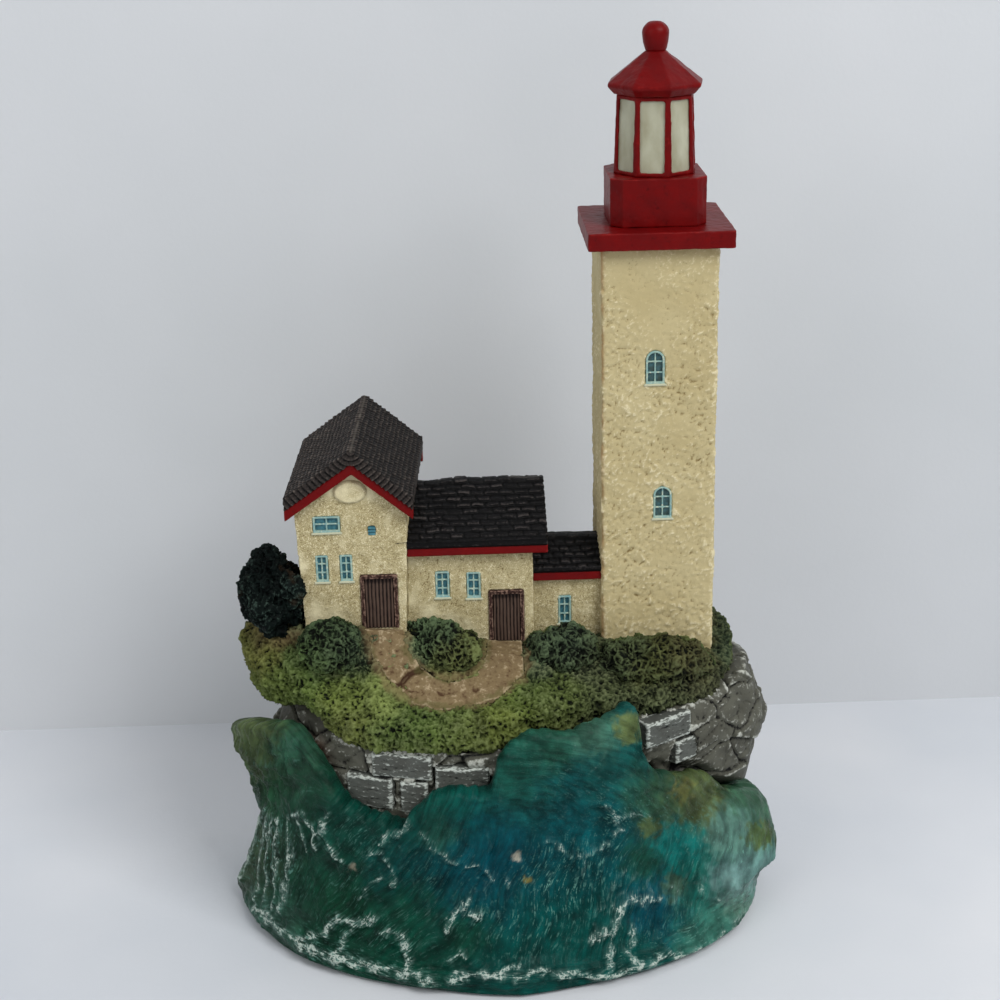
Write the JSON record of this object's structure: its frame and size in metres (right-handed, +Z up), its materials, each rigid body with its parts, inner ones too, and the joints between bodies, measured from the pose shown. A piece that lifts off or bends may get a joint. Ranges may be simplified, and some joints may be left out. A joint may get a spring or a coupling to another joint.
{
  "type": "lighthouse figurine",
  "caption": "Cast-resin lighthouse figurine: a square tower and joined cottages on a mossy rock island seated in a translucent breaking wave.",
  "frame": {"origin": "centre of the foot's ellipse, on the felt's underside, where the figurine stands on the table", "axes": "+Z up along the tower, -Y towards the front with the doors, +X to the right, towards the tower"},
  "size_m": [0.1321, 0.0932, 0.2096],
  "materials": {
    "felt": "matte",
    "sea_resin": "gloss",
    "rock": "satin",
    "turf": "matte",
    "foliage": "matte",
    "tree_foliage": "matte",
    "sand": "matte",
    "stucco": "matte",
    "shingles": "matte",
    "red_paint": "satin",
    "window_cream": "satin",
    "window_blue": "satin",
    "door_planks": "matte",
    "lantern_glass": "satin"
  },
  "bodies": {
    "root": {"base_felt": "felt", "sea_casting": "sea_resin", "island_rock": "rock", "quay_stones_front": "rock", "quay_stones_right": "rock", "turf_cap": "turf", "bush_door": "foliage", "bush_mound": "foliage", "hedge_link": "foliage", "hedge_tower": "foliage", "shrub_tree": "tree_foliage", "sand_path": "sand", "keeper_walls": "stucco", "keeper_medallion": "stucco", "store_walls": "stucco", "link_walls": "stucco", "tower_shaft": "stucco", "keeper_roof": "shingles", "store_roof": "shingles", "link_roof": "shingles", "keeper_bargeboards": "red_paint", "store_fascia": "red_paint", "link_fascia": "red_paint", "gallery_slab": "red_paint", "lantern_pedestal": "red_paint", "lantern_bars": "red_paint", "lantern_roof": "red_paint", "lantern_finial": "red_paint", "keeper_window_frames": "window_cream", "store_window_frames": "window_cream", "link_window_frame": "window_cream", "tower_window_frames": "window_cream", "keeper_window_panes": "window_blue", "store_window_panes": "window_blue", "link_window_pane": "window_blue", "tower_window_panes": "window_blue", "keeper_vent": "window_blue", "keeper_door": "door_planks", "keeper_door_frame": "door_planks", "store_door": "door_planks", "store_door_frame": "door_planks", "lantern_glazing": "lantern_glass"}
  },
  "joints": []
}
